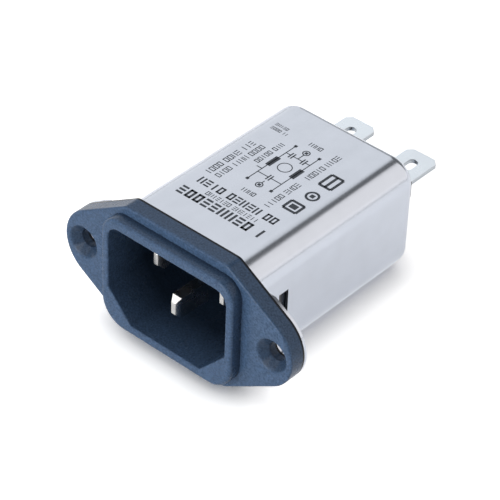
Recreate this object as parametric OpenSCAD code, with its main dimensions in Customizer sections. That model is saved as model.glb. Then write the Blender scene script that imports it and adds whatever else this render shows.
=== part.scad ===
// Chassis power inlet with a mains line filter in a metal can behind it.
// X runs across the flange, Y runs from the socket to the load tabs, and Z is up.
// The origin is midway between the two screw holes, in the plane where the ears meet the panel.

/* [Flange] */
// Distance between the two screw holes
screw_pitch = 40; // [39:0.5:42]
// Width of the flange over both ears
flange_w = 48; // [47.5:0.5:52]
// Height of the flange at its middle
flange_h = 24.4; // [23.5:0.1:26]
// Thickness of the moulded flange
flange_t = 3.1; // [2.5:0.1:4]
// Radius of each ear's round end
ear_r = 7; // [6:0.1:8]
// Half the length of the straight top edge
flange_flat = 10.1; // [8:0.1:11]
// Radius of the four corners beside the straight edges
flange_corner = 1.8; // [0.5:0.1:3]
// Diameter of the clearance holes for the screws
screw_hole = 3.3; // [3:0.1:3.6]
// Diameter of the countersinks at the front face
countersink = 6.1; // [5.6:0.1:6.6]

/* [Bezel] */
// Width of the raised bezel round the socket
bezel_w = 27.6; // [27:0.1:29]
// Height of the bezel
bezel_h = 21.3; // [21:0.1:22.5]
// Height of the bezel above the flange
bezel_t = 2.25; // [1:0.05:3]
// Radius of the bezel's upper corners
bezel_top_r = 3.5; // [2:0.1:4.5]
// Radius of the bezel's lower corners
bezel_low_r = 4.8; // [3:0.1:5.5]
// Rounding of the bezel's front edge
bezel_edge = 0.5; // [0.2:0.1:1]

/* [Socket] */
// Width of the socket opening
socket_w = 24.8; // [24.4:0.1:25.2]
// Top of the opening above the middle
socket_top = 8.8; // [8.4:0.1:9]
// Bottom of the opening below the middle
socket_low = 9; // [8.6:0.1:9.2]
// Height of the two slanted lower corners
socket_cut_h = 5.5; // [4.5:0.1:6]
// Width of the two slanted lower corners
socket_cut_w = 5.05; // [4.5:0.05:6]
// Radius of the two upper corners
socket_r = 2.3; // [1:0.1:3]
// Depth of the socket behind the bezel's front
socket_depth = 16.75; // [16:0.05:18]
// Thickness of the wall at the bottom of the socket
socket_floor = 2.5; // [2:0.1:3]

/* [Pins] */
// Distance between the line pin and the neutral pin
pin_pitch = 14; // [13.8:0.1:14.2]
// Thickness of a pin across X
pin_w = 2; // [1.9:0.05:2.1]
// Height of a pin along Z
pin_h = 4; // [3.9:0.05:4.1]
// Height of the line pins above the middle, and of the earth pin below it
pin_offset = 2; // [1.8:0.1:2.2]
// Distance of the line pins' tips behind the bezel's front
pin_setback = 5.25; // [4:0.05:7]
// Distance of the earth pin's tip behind the bezel's front
earth_setback = 1.85; // [1:0.05:4]
// Length of each pin that stands out behind the socket floor
pin_stub = 3.4; // [2:0.1:3.6]
// Length of the bevels at a pin's tip
pin_bevel = 1; // [0.5:0.1:1.5]

/* [Can] */
// Width of the can
can_w = 28.1; // [27.6:0.1:28.4]
// Height of the can
can_h = 21.3; // [21:0.1:21.8]
// Height of the can's middle above the flange's middle
can_rise = 0.2; // [0:0.1:0.4]
// Distance from the panel plane to the back of the can
can_l = 38.4; // [37.5:0.1:42]
// Radius of the can's four long corners
can_r = 4.5; // [3.5:0.1:5]
// Radius where the walls turn into the closed back
can_edge = 2; // [1.2:0.1:2.5]
// Thickness of the sheet
sheet = 0.5; // [0.4:0.05:0.6]
// Height of the ears that lie behind the flange
ear_h = 16; // [12:0.5:17]
// Distance from the panel plane to the front of a latch window
window_y = 4.85; // [4:0.05:6]
// Length of a latch window along the can
window_l = 2.2; // [1.8:0.1:3]
// Height of a latch window
window_h = 6.4; // [5:0.1:8]

/* [Tabs] */
// Width of a quick-connect tab
tab_w = 6.3; // [6.2:0.05:6.4]
// Thickness of a tab
tab_t = 0.8; // [0.75:0.05:0.85]
// Distance between the line tab and the neutral tab
tab_pitch = 13.3; // [12.5:0.1:14]
// Distance that a tab stands out of the can's back
tab_reach = 12.1; // [10:0.1:13]
// Height of the earth tab's middle
earth_tab_z = -4.5; // [-5:0.1:-4]
// Width of the slot in a tab
tab_slot_w = 1.8; // [1.2:0.1:1.9]
// Length of the slot in a tab
tab_slot_l = 3.2; // [2:0.1:4]
// Cut on each outer corner of a tab
tab_corner = 1; // [0.5:0.1:1.5]
// Wall of the insulating collar round a tab
collar_wall = 1; // [0.8:0.1:1.2]
// Distance that a collar stands out of the can's back
collar_reach = 3.4; // [1:0.1:4]

/* [Choke] */
// Outer diameter of the ferrite ring
core_d = 15.5; // [14:0.1:15.6]
// Inner diameter of the ferrite ring
core_hole = 8.5; // [7.5:0.1:9]
// Length of the ferrite ring along its axis
core_l = 6; // [5:0.1:6]
// Wall of the ring's plastic case
case_t = 0.5; // [0.4:0.05:0.6]
// Diameter of the enamelled wire
wire_d = 0.9; // [0.8:0.05:0.95]
// Turns in each winding
turns = 11; // [9:1:11]
// Angle that each winding covers
winding_angle = 125; // [110:1:125]

/* [Capacitors] */
// Width of the capacitor across the mains
xcap_w = 13; // [12:0.1:13]
// Thickness of that capacitor
xcap_t = 5; // [4:0.1:5]
// Height of that capacitor
xcap_h = 11; // [9:0.1:11]
// Diameter of each capacitor to earth
ycap_d = 7.5; // [6:0.1:7.5]
// Thickness of each capacitor to earth
ycap_t = 3.2; // [2.5:0.1:3.2]
// Diameter of the capacitors' legs
leg_d = 0.6; // [0.5:0.05:0.6]

/* [Hidden] */
$fn = 64;

// Planes along Y
eps = 0.01;
flange_back = -sheet;
flange_front = flange_back - flange_t;
bezel_front = flange_front - bezel_t;
floor_front = bezel_front + socket_depth;
floor_back = floor_front + socket_floor;
stub_end = floor_back + pin_stub;
can_inside = can_l - sheet;
plate_t = 3;
plate_front = can_inside - plate_t;

// Space inside the can
fit_gap = 0.1;
shell_w = can_w - 2 * (sheet + fit_gap);
liner_t = 0.3;
inner_w = can_w - 2 * sheet;
inner_h = can_h - 2 * sheet;
inner_r = can_r - sheet;
room_half = inner_w / 2 - liner_t;
room_low = can_rise - inner_h / 2 + liner_t;

// Choke
case_r = core_d / 2 + case_t;
case_bore = core_hole / 2 - case_t;
case_l = core_l + 2 * case_t;
choke_y = 27.9;
choke_z = can_rise;
coil_r = case_r + wire_d / 2;
lead_angle = winding_angle / 2;
lead_x = coil_r * cos(lead_angle);
lead_high = choke_z + coil_r * sin(lead_angle);
lead_low = choke_z - coil_r * sin(lead_angle);
coil_half = case_l / 2 + wire_d;
lead_d = wire_d - 0.1;

// Capacitors
xcap_y = 17.5;
xcap_z = -4;
ycap_x = room_half - fit_gap - ycap_t / 2;
ycap_y = 27.5;
ycap_z = -2;

// Tabs and earth strap
tab_root = choke_y + coil_half + 0.25;
tab_shoulder = 1;
collar_w = tab_w + 2 * collar_wall;
collar_h = tab_t + 2 * collar_wall + 0.4;
strap_t = 0.5;
strap_w = 3;
strap_rise_y = tab_root + 0.5;

// ---- outlines in the XZ plane, drawn as X and Y -----------------------------------------

function side_turn(v) = [-v[1], v[0]];

// Normal of the line that touches two circles on the same side
function touch_normal(c1, r1, c2, r2, side) =
    let (gap = norm(c2 - c1), along = (c2 - c1) / gap, k = (r1 - r2) / gap)
    along * k + side * side_turn(along) * sqrt(1 - k * k);

module flange_outline() {
    ear = [flange_w / 2 - ear_r, 0];
    corner = [flange_flat, flange_h / 2 - flange_corner];
    n = touch_normal(ear, ear_r, corner, flange_corner, -1);
    on_ear = ear + n * ear_r;
    on_corner = corner + n * flange_corner;
    top = [flange_flat, flange_h / 2];
    quarter = [on_ear, on_corner, top];
    right = concat([for (p = quarter) [p[0], p[1]]], [for (i = [2:-1:0]) [-quarter[i][0], quarter[i][1]]]);
    left = [for (i = [5:-1:0]) [right[i][0], -right[i][1]]];
    polygon(concat(right, left));
    for (sx = [-1, 1]) {
        translate([sx * ear[0], 0]) circle(ear_r);
        for (sz = [-1, 1])
            translate([sx * corner[0], sz * corner[1]]) circle(flange_corner);
    }
}

module socket_outline() {
    half = socket_w / 2;
    polygon([
        [-half + socket_cut_w, -socket_low], [half - socket_cut_w, -socket_low],
        [half, -socket_low + socket_cut_h], [half, socket_top - socket_r],
        [half - socket_r, socket_top], [-half + socket_r, socket_top],
        [-half, socket_top - socket_r], [-half, -socket_low + socket_cut_h]
    ]);
    for (s = [-1, 1])
        translate([s * (half - socket_r), socket_top - socket_r]) circle(socket_r);
}

module round_rect(w, h, r) {
    square([w - 2 * r, h], center = true);
    square([w, h - 2 * r], center = true);
    for (sx = [-1, 1], sz = [-1, 1])
        translate([sx * (w / 2 - r), sz * (h / 2 - r)]) circle(r);
}

// Outline in the XZ plane, run along Y from y0 to y1
module along_y(y0, y1) {
    translate([0, y1, 0]) rotate([90, 0, 0]) linear_extrude(y1 - y0) children();
}

// ---- shared solids ----------------------------------------------------------------------

// Wall section: a strip from the middle out to a, t deep, with its outer edge at depth 0 rounded by e
module edge_section(a, t, e) {
    translate([0, e]) square([a, t - e]);
    square([a - e, e]);
    intersection() {
        translate([a - e, e]) circle(e);
        square([a, e]);
    }
}

// Block with corner radii top and low and one rounded end, which lies at Z 0
module drawn_block(w, h, top, low, t, e) {
    for (s = [0, 1]) mirror([s, 0, 0]) {
        translate([w / 2 - top, h / 2 - top, 0]) rotate_extrude(angle = 90) edge_section(top, t, e);
        translate([w / 2 - low, low - h / 2, 0])
            rotate([0, 0, -90]) rotate_extrude(angle = 90) edge_section(low, t, e);
        translate([0, h / 2 - top, 0]) rotate([90, 0, 0])
            linear_extrude(h - top - low) edge_section(w / 2, t, e);
    }
    translate([top - w / 2, 0, 0]) rotate([90, 0, 90]) linear_extrude(w - 2 * top) edge_section(h / 2, t, e);
    translate([w / 2 - low, 0, 0]) rotate([90, 0, -90]) linear_extrude(w - 2 * low) edge_section(h / 2, t, e);
}

// Round wire through a list of points, turned with a quarter bend at each inner point
module wire(points, d) {
    last = len(points) - 1;
    bend = d * 0.75;
    for (i = [0:last - 1]) {
        step = points[i + 1] - points[i];
        u = step / norm(step);
        start = i > 0 ? bend : 0;
        end = i < last - 1 ? bend : 0;
        translate(points[i] + u * start)
            rotate([0, atan2(norm([u[0], u[1]]), u[2]), atan2(u[1], u[0])])
                cylinder(d = d, h = norm(step) - start - end, $fn = 24);
        if (i < last - 1) {
            v = (points[i + 2] - points[i + 1]) / norm(points[i + 2] - points[i + 1]);
            quarter_bend(points[i + 1], u, v, bend, d);
        }
    }
}

// Quarter bend at the corner p, from the direction u to the direction v, which is square to it
module quarter_bend(p, u, v, bend, d) {
    c = p + (v - u) * bend;
    w = cross(u, v);
    multmatrix([
        [-v[0], u[0], w[0], c[0]],
        [-v[1], u[1], w[1], c[1]],
        [-v[2], u[2], w[2], c[2]],
        [0, 0, 0, 1]
    ]) rotate_extrude(angle = 90) translate([bend, 0]) circle(d = d, $fn = 24);
}

// ---- inlet moulding ---------------------------------------------------------------------

module screw_holes(d) {
    for (s = [-1, 1])
        translate([s * screw_pitch / 2, 1, 0]) rotate([90, 0, 0]) cylinder(d = d, h = flange_t + 2);
}

module screw_recesses() {
    depth = (countersink - screw_hole) / 2;
    for (s = [-1, 1])
        translate([s * screw_pitch / 2, flange_front - eps, 0]) rotate([-90, 0, 0])
            cylinder(d1 = countersink + 2 * eps, d2 = screw_hole, h = depth + eps);
}

module latch() {
    latch_h = window_h - 0.4;
    y0 = window_y + fit_gap;
    y1 = window_y + window_l - fit_gap;
    translate([0, 0, can_rise - latch_h / 2]) linear_extrude(latch_h)
        polygon([[shell_w / 2 - 1, y0], [can_w / 2 - fit_gap, y0], [shell_w / 2, y1], [shell_w / 2 - 1, y1]]);
}

module pin_passages() {
    for (s = [-1, 1])
        translate([s * pin_pitch / 2, 0, pin_offset]) pin_bar(0, stub_end);
    translate([0, 0, -pin_offset]) pin_bar(0, stub_end);
}

module inlet_body() {
    color("darkslategray") difference() {
        union() {
            along_y(flange_front, flange_back) flange_outline();
            translate([0, bezel_front, 0]) rotate([-90, 0, 0])
                drawn_block(bezel_w, bezel_h, bezel_low_r, bezel_top_r, bezel_t + 1, bezel_edge);
            along_y(flange_back - 1, floor_back) translate([0, can_rise])
                round_rect(shell_w, inner_h - 2 * fit_gap, inner_r - fit_gap);
            latch();
            mirror([1, 0, 0]) latch();
        }
        along_y(bezel_front - 1, floor_front) socket_outline();
        screw_holes(screw_hole);
        screw_recesses();
        pin_passages();
    }
}

// ---- metal can --------------------------------------------------------------------------

module can_ears() {
    difference() {
        along_y(flange_back, 0) intersection() {
            flange_outline();
            square([flange_w + 1, ear_h], center = true);
        }
        along_y(flange_back - 1, 1) square([can_w - 2 * sheet, ear_h + 1], center = true);
        screw_holes(screw_hole);
    }
}

module tab_windows(gap) {
    for (s = [-1, 1]) translate([s * tab_pitch / 2, can_l, pin_offset])
        cube([collar_w + gap, 4 * sheet, collar_h + gap], center = true);
    translate([0, can_l, earth_tab_z])
        cube([collar_w + gap, 4 * sheet, collar_h + gap], center = true);
}

module shield_can() {
    color("silver") {
        difference() {
            translate([0, can_l, can_rise]) rotate([90, 0, 0])
                drawn_block(can_w, can_h, can_r, can_r, can_l - flange_back, can_edge);
            translate([0, can_inside, can_rise]) rotate([90, 0, 0])
                drawn_block(inner_w, inner_h, inner_r, inner_r, can_l + 1, can_edge - sheet);
            translate([-can_w, window_y, can_rise - window_h / 2]) cube([2 * can_w, window_l, window_h]);
            tab_windows(0);
        }
        can_ears();
    }
}

module can_liner() {
    pad = strap_w + 0.4;
    color("khaki") difference() {
        along_y(floor_back, plate_front) translate([0, can_rise]) difference() {
            round_rect(inner_w, inner_h, inner_r);
            round_rect(inner_w - 2 * liner_t, inner_h - 2 * liner_t, inner_r - liner_t);
        }
        translate([-pad / 2, choke_y - pad / 2, room_low - 1]) cube([pad, pad, 2]);
    }
}

// ---- pins, tabs and earth path ----------------------------------------------------------

// Plain length of pin section from y0 to y1
module pin_bar(y0, y1) {
    translate([-pin_w / 2, y0, -pin_h / 2]) cube([pin_w, y1 - y0, pin_h]);
}

// Pin with four bevels at its tip, which lies at y0
module pin(y0, y1) {
    tip_w = pin_w * 0.4;
    tip_h = pin_h * 0.55;
    intersection() {
        translate([0, 0, -pin_h / 2]) linear_extrude(pin_h) polygon([
            [-tip_w / 2, y0], [tip_w / 2, y0], [pin_w / 2, y0 + pin_bevel],
            [pin_w / 2, y1], [-pin_w / 2, y1], [-pin_w / 2, y0 + pin_bevel]
        ]);
        translate([-pin_w / 2, 0, 0]) rotate([90, 0, 90]) linear_extrude(pin_w) polygon([
            [y0, -tip_h / 2], [y0 + pin_bevel, -pin_h / 2], [y1, -pin_h / 2],
            [y1, pin_h / 2], [y0 + pin_bevel, pin_h / 2], [y0, tip_h / 2]
        ]);
    }
}

module line_pin() {
    color("lightgray") translate([pin_pitch / 2, 0, pin_offset]) pin(bezel_front + pin_setback, stub_end);
}

module neutral_pin() {
    mirror([1, 0, 0]) line_pin();
}

module earth_pin() {
    color("lightgray") translate([0, 0, -pin_offset]) pin(bezel_front + earth_setback, stub_end);
}

// Flat tab: it lies in the XY plane, with a shoulder inside the can and a slot near its end
module tab() {
    tip = can_l + tab_reach;
    half = tab_w / 2;
    slot_y = tip - 4;
    slot_run = tab_slot_l - tab_slot_w;
    translate([0, 0, -tab_t / 2]) linear_extrude(tab_t) difference() {
        polygon([
            [-half, tab_root], [half, tab_root],
            [half, plate_front - tab_shoulder], [half + 0.6, plate_front - tab_shoulder],
            [half + 0.6, plate_front], [half, plate_front],
            [half, tip - tab_corner], [half - tab_corner, tip],
            [tab_corner - half, tip], [-half, tip - tab_corner],
            [-half, plate_front], [-half - 0.6, plate_front],
            [-half - 0.6, plate_front - tab_shoulder], [-half, plate_front - tab_shoulder]
        ]);
        for (s = [-1, 1]) translate([0, slot_y + s * slot_run / 2]) circle(d = tab_slot_w, $fn = 32);
        translate([0, slot_y]) square([tab_slot_w, slot_run], center = true);
    }
}

module line_tab() {
    color("gainsboro") translate([tab_pitch / 2, 0, pin_offset]) tab();
}

module neutral_tab() {
    mirror([1, 0, 0]) line_tab();
}

module earth_tab() {
    color("gainsboro") translate([0, 0, earth_tab_z]) tab();
}

// Strip from the earth pin, under the choke and up to the earth tab, with a pad on the can
module earth_strap() {
    half = strap_w / 2;
    color("goldenrod") {
        translate([-half, stub_end, room_low]) cube([strap_w, strap_rise_y + strap_t - stub_end, strap_t]);
        translate([-half, stub_end, room_low]) cube([strap_w, strap_t, -pin_offset + 1 - room_low]);
        translate([-half, strap_rise_y, room_low]) cube([strap_w, strap_t, earth_tab_z - tab_t / 2 - room_low]);
        translate([-half, choke_y - half, room_low - liner_t]) cube([strap_w, strap_w, liner_t + eps]);
    }
}

module terminal_plate() {
    color("black") difference() {
        union() {
            translate([0, can_inside, can_rise]) rotate([90, 0, 0])
                drawn_block(inner_w, inner_h, inner_r, inner_r, plate_t, can_edge - sheet);
            for (s = [-1, 1]) translate([s * tab_pitch / 2, 0, pin_offset]) collar();
            translate([0, 0, earth_tab_z]) collar();
        }
        for (s = [-1, 1]) translate([s * tab_pitch / 2, 0, pin_offset]) tab_passage();
        translate([0, 0, earth_tab_z]) tab_passage();
    }
}

module collar() {
    length = plate_t + sheet + collar_reach;
    translate([-collar_w / 2, plate_front, -collar_h / 2]) cube([collar_w, length, collar_h]);
}

module tab_passage() {
    translate([-tab_w / 2, plate_front - 1, -tab_t / 2]) cube([tab_w, can_l, tab_t]);
}

// ---- choke ------------------------------------------------------------------------------

// Ring about the choke's axis, from y0 to y1
module ring(r_out, r_in, y0, y1) {
    translate([0, y1, choke_z]) rotate([90, 0, 0]) linear_extrude(y1 - y0) difference() {
        circle(r_out);
        circle(r_in);
    }
}

module choke_core() {
    color("dimgray") ring(core_d / 2, core_hole / 2, choke_y - core_l / 2, choke_y + core_l / 2);
}

module core_cup() {
    front = choke_y - case_l / 2;
    back = choke_y + core_l / 2;
    color("white") difference() {
        ring(case_r, case_bore, front, back);
        ring(core_d / 2, core_hole / 2, front + case_t, back + 1);
    }
}

module core_lid() {
    color("white") ring(case_r, case_bore, choke_y + core_l / 2, choke_y + case_l / 2);
}

// One turn: a flat frame round the case, standing in the plane of the choke's axis
module turn() {
    bore_side = sqrt(pow(case_bore, 2) - pow(wire_d / 2, 2));
    span = case_r - bore_side;
    translate([0, 0, -wire_d / 2]) linear_extrude(wire_d) difference() {
        translate([bore_side - wire_d, choke_y - coil_half]) square([span + 2 * wire_d, 2 * coil_half]);
        translate([bore_side, choke_y - case_l / 2]) square([span, case_l]);
    }
}

module line_winding() {
    pin_side = pin_pitch / 2 + pin_w / 2;
    pin_y = (floor_back + stub_end) / 2;
    out_y = tab_root + 0.2;
    color("chocolate") {
        translate([0, 0, choke_z])
            for (i = [0:turns - 1])
                rotate([0, winding_angle * (i / (turns - 1) - 0.5), 0]) turn();
        wire([
            [pin_side, pin_y, pin_offset], [pin_side + 0.8, pin_y, pin_offset],
            [pin_side + 0.8, pin_y, lead_high], [lead_x, pin_y, lead_high],
            [lead_x, choke_y - coil_half + 0.3, lead_high]
        ], lead_d);
        wire([
            [lead_x, choke_y + coil_half - 0.3, lead_low], [lead_x, out_y, lead_low],
            [lead_x, out_y, pin_offset - tab_t / 2]
        ], lead_d);
    }
}

module neutral_winding() {
    mirror([1, 0, 0]) line_winding();
}

module winding_divider() {
    color("white") intersection() {
        translate([0, choke_y + coil_half, choke_z]) rotate([90, 0, 0]) cylinder(r = case_bore, h = 2 * coil_half);
        translate([-0.4, choke_y - coil_half, choke_z - case_r]) cube([0.8, 2 * coil_half, 2 * case_r]);
    }
}

// Base on two rails, with a saddle for the ring and a shelf for the capacitor
module choke_cradle() {
    base_z = room_low + strap_t;
    base_t = 0.7;
    half = 3.4;
    saddle = 2.4;
    color("ivory") {
        translate([-half, xcap_y, base_z]) cube([2 * half, choke_y + case_l / 2 - xcap_y, base_t]);
        for (s = [0, 1]) mirror([s, 0, 0])
            translate([strap_w / 2 + 0.1, xcap_y, room_low])
                cube([half - strap_w / 2 - 0.1, choke_y + case_l / 2 - xcap_y, strap_t]);
        translate([-half, xcap_y, base_z]) cube([2 * half, xcap_t, xcap_z - base_z]);
        difference() {
            translate([-saddle, choke_y - case_l / 2, base_z]) cube([2 * saddle, case_l, 3]);
            ring(case_r, 1, choke_y - case_l, choke_y + case_l);
        }
    }
}

module lead_sleeves() {
    color("darkred") for (s = [-1, 1])
        translate([s * lead_x, xcap_y + xcap_t, lead_high]) rotate([90, 0, 0]) difference() {
            cylinder(d = lead_d + 0.6, h = xcap_t, $fn = 24);
            translate([0, 0, -1]) cylinder(d = lead_d, h = xcap_t + 2, $fn = 24);
        }
}

// ---- capacitors -------------------------------------------------------------------------

module x_capacitor() {
    leg_x = 5;
    leg_y = (floor_back + stub_end) / 2;
    color("gold") {
        translate([-xcap_w / 2, xcap_y, xcap_z]) cube([xcap_w, xcap_t, xcap_h]);
        for (s = [0, 1]) mirror([s, 0, 0]) wire([
            [leg_x, xcap_y + 0.3, pin_offset], [leg_x, leg_y, pin_offset],
            [(pin_pitch - pin_w) / 2, leg_y, pin_offset]
        ], leg_d);
    }
}

module line_y_capacitor() {
    load_y = tab_root + 0.7;
    earth_y = tab_root + 1;
    load_x = (tab_pitch + tab_w) / 2;
    color("royalblue") {
        translate([ycap_x - ycap_t / 2, ycap_y, ycap_z]) rotate([0, 90, 0]) cylinder(d = ycap_d, h = ycap_t);
        wire([
            [ycap_x, ycap_y + 3, ycap_z + 1], [ycap_x, load_y, ycap_z + 1],
            [ycap_x, load_y, pin_offset], [load_x, load_y, pin_offset]
        ], leg_d);
        wire([
            [ycap_x, ycap_y + 2, earth_tab_z], [ycap_x, earth_y, earth_tab_z],
            [tab_w / 2, earth_y, earth_tab_z]
        ], leg_d);
    }
}

module neutral_y_capacitor() {
    mirror([1, 0, 0]) line_y_capacitor();
}

inlet_body();
shield_can();
can_liner();
terminal_plate();
line_pin();
neutral_pin();
earth_pin();
line_tab();
neutral_tab();
earth_tab();
earth_strap();
choke_core();
core_cup();
core_lid();
line_winding();
neutral_winding();
winding_divider();
choke_cradle();
lead_sleeves();
x_capacitor();
line_y_capacitor();
neutral_y_capacitor();
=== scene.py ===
"""Looks and studio for a panel-mount power inlet with a line filter in a drawn metal can.

The moulding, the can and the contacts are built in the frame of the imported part, printed, given
materials and put on a pale floor under soft light.
"""

import math
import random

import bmesh
import bpy
from bpy.props import FloatProperty, FloatVectorProperty, IntProperty, PointerProperty
from mathutils import Matrix, Vector


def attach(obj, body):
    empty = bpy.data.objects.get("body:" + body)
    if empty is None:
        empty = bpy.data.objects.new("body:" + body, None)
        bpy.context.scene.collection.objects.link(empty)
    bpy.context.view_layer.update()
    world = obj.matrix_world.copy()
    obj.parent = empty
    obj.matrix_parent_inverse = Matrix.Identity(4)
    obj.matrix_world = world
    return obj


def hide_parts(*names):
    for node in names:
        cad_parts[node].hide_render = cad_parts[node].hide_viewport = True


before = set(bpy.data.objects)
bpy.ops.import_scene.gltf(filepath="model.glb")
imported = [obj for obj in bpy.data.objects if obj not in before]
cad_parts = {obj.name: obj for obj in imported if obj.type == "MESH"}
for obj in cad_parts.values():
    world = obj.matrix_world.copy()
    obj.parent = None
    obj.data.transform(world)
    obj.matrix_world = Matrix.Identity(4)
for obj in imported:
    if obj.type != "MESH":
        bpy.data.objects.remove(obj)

bl_info = {
    "name": "Filtered power inlet",
    "version": (1, 0, 0),
    "blender": (4, 5, 0),
    "location": "View3D > Sidebar > Inlet",
    "description": "Builds the looks of a panel-mount power inlet with a line filter",
    "category": "Object",
}

MM = 0.001
RING_STEPS = 240
TURNED_STEPS = 96
ROUND_STEPS = 6
CAN_ROUND_STEPS = 10
WELD = 1e-7
SHARP_ANGLE = math.radians(35)
FLAT_ANGLE = math.radians(1)


def length(name, description, millimetres):
    """A length property whose default is given in millimetres."""
    return FloatProperty(
        name=name,
        description=description,
        default=millimetres * MM,
        subtype="DISTANCE",
        unit="LENGTH",
        precision=5,
    )


def number(name, description, default):
    """A plain number property."""
    return FloatProperty(name=name, description=description, default=default)


def colour(name, description, default):
    """A colour property."""
    return FloatVectorProperty(
        name=name, description=description, default=default, subtype="COLOR", size=3, min=0, max=1
    )


# ---- sizes and colours -------------------------------------------------------------------


class MouldingSizes(bpy.types.PropertyGroup):
    """Sizes of the inlet moulding."""

    pitch: length("Screw pitch", "Distance between the screw holes", 40)
    width: length("Flange width", "Width of the flange over both ears", 48)
    height: length("Flange height", "Height of the flange at its middle", 24.4)
    thick: length("Flange thickness", "Thickness of the flange", 3.1)
    ear_r: length("Ear radius", "Radius of each ear's round end", 7)
    flat: length("Flat", "Half the length of the straight top edge", 10.1)
    corner_r: length("Corner radius", "Radius beside the straight edges", 1.8)
    edge: length("Edge rounding", "Rounding of the flange's front edge", 0.35)
    hole: length("Screw hole", "Diameter of the screw holes", 3.3)
    sink: length("Countersink", "Diameter of the countersinks", 6.1)
    bezel_w: length("Bezel width", "Width of the bezel", 27.6)
    bezel_h: length("Bezel height", "Height of the bezel", 21.3)
    bezel_t: length("Bezel rise", "Height of the bezel above the flange", 2.25)
    bezel_top: length("Upper radius", "Radius of the bezel's upper corners", 3.5)
    bezel_low: length("Lower radius", "Radius of the bezel's lower corners", 4.8)
    bezel_edge: length("Bezel edge", "Rounding of the bezel's front edge", 0.5)
    mouth_edge: length("Mouth edge", "Rounding of the opening's edge", 0.3)
    socket_w: length("Socket width", "Width of the socket", 24.8)
    socket_top: length("Socket top", "Top of the socket above the middle", 8.8)
    socket_low: length("Socket bottom", "Bottom of the socket below the middle", 9)
    cut_w: length("Cut width", "Width of the slanted corners", 5.05)
    cut_h: length("Cut height", "Height of the slanted corners", 5.5)
    socket_r: length("Socket radius", "Radius of the two upper corners", 2.3)
    depth: length("Socket depth", "Depth of the socket behind the bezel's front", 16.75)
    floor: length("Socket floor", "Thickness of the wall at the bottom", 2.5)
    gap: length("Fit", "Gap between the moulding and the can", 0.1)
    latch_gap: length("Latch gap", "Gap between a latch and the end of its window", 0.1)
    sink_lip: length("Countersink lip", "Rounding of the countersinks' edges", 0.12)


class CanSizes(bpy.types.PropertyGroup):
    """Sizes of the can."""

    width: length("Width", "Width of the can", 28.1)
    height: length("Height", "Height of the can", 21.3)
    rise: length("Rise", "Height of the can's middle above the flange's", 0.2)
    long: length("Length", "Distance from the panel plane to the can's back", 38.4)
    corner_r: length("Corner radius", "Radius of the long corners", 4.5)
    edge: length("Back edge", "Radius where the walls turn into the back", 2)
    sheet: length("Sheet", "Thickness of the sheet", 0.5)
    ear_h: length("Ear height", "Height of the ears", 16)
    window_y: length("Window start", "Distance from the panel plane to a latch window", 4.85)
    window_l: length("Window length", "Length of a latch window", 2.2)
    window_h: length("Window height", "Height of a latch window", 6.4)


class ContactSizes(bpy.types.PropertyGroup):
    """Sizes of the pins, the tabs and their edges."""

    pin_pitch: length("Pin pitch", "Distance between line pin and neutral pin", 14)
    pin_w: length("Pin width", "Thickness of a pin", 2)
    pin_h: length("Pin height", "Height of a pin", 4)
    pin_z: length("Pin offset", "Height of the line pins above the middle", 2)
    tab_pitch: length("Tab pitch", "Distance between line tab and neutral tab", 13.3)
    collar_w: length("Collar width", "Width of a collar", 8.3)
    collar_h: length("Collar height", "Height of a collar", 3.2)
    earth_z: length("Earth tab", "Height of the earth tab's middle", -4.5)
    edge: length("Contact edge", "Rounding of the contacts' edges", 0.09)
    collar_edge: length("Collar edge", "Rounding of the collars' edges", 0.15)


class PrintSizes(bpy.types.PropertyGroup):
    """Sizes of the marks printed on the can."""

    thick: length("Ink", "Thickness of the ink", 0.012)
    stroke: length("Stroke", "Width of a thin stroke", 0.17)
    seed: IntProperty(name="Seed", description="Order of the plain marks", default=11)


class Finishes(bpy.types.PropertyGroup):
    """Colours of the finishes."""

    moulding: colour("Moulding", "Blue-grey thermoplastic", (0.056, 0.098, 0.175))
    metal: colour("Can", "Tinned steel sheet", (0.57, 0.605, 0.675))
    contact: colour("Contacts", "Nickel-plated brass", (0.72, 0.71, 0.69))
    tab: colour("Tabs", "Tin-plated brass", (0.75, 0.81, 0.87))
    black: colour("Terminal plate", "Black thermoplastic", (0.016, 0.018, 0.022))
    ink: colour("Ink", "Dark slate ink", (0.034, 0.045, 0.064))
    film: colour("Liner", "Insulating film", (0.62, 0.55, 0.33))
    ferrite: colour("Ferrite", "Dark grey ferrite", (0.045, 0.043, 0.045))
    case: colour("Case", "Plastic case of the core", (0.70, 0.70, 0.66))
    wire: colour("Wire", "Enamelled copper", (0.50, 0.16, 0.05))
    sleeve: colour("Sleeves", "Silicone sleeving", (0.55, 0.56, 0.52))
    xcap: colour("X capacitor", "Yellow capacitor case", (0.72, 0.46, 0.06))
    ycap: colour("Y capacitor", "Blue disc capacitor", (0.03, 0.12, 0.38))


class StudioSettings(bpy.types.PropertyGroup):
    """Floor, lamps and camera."""

    azimuth: number("Azimuth", "Camera's turn round Z in degrees", 40.157)
    elevation: number("Elevation", "Camera's height in degrees", 38.701)
    roll: number("Roll", "Camera's roll in degrees", 2.321)
    lens: number("Lens", "Focal length in millimetres", 173.8)
    distance: length("Distance", "Distance of the camera", 376.2)
    aim_right: length("Aim right", "Aim point along the camera's right", 11.72)
    aim_up: length("Aim up", "Aim point along the camera's up", 7.40)
    origin_y: length("Origin", "Offset of the aim point along Y", -3.6)
    floor_w: length("Floor", "Width of the floor", 3000)
    world: number("Room", "Brightness of the room", 0.18)
    lift: number("Lift", "Brightness added to the floor seen directly", 0.70)
    glint: number("Glint", "Brightness added to the floor seen in metal", 0.52)
    horizon: number("Horizon", "Brightness added low in the room seen in metal", 0.4)
    # The floor's darkening beside the part is a painted shadow.
    contact: length("Contact", "Distance over which the floor darkens beside the part", 5)


GROUPS = {
    "inlet_moulding": MouldingSizes,
    "inlet_can": CanSizes,
    "inlet_contacts": ContactSizes,
    "inlet_print": PrintSizes,
    "inlet_finishes": Finishes,
    "inlet_studio": StudioSettings,
}


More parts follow.
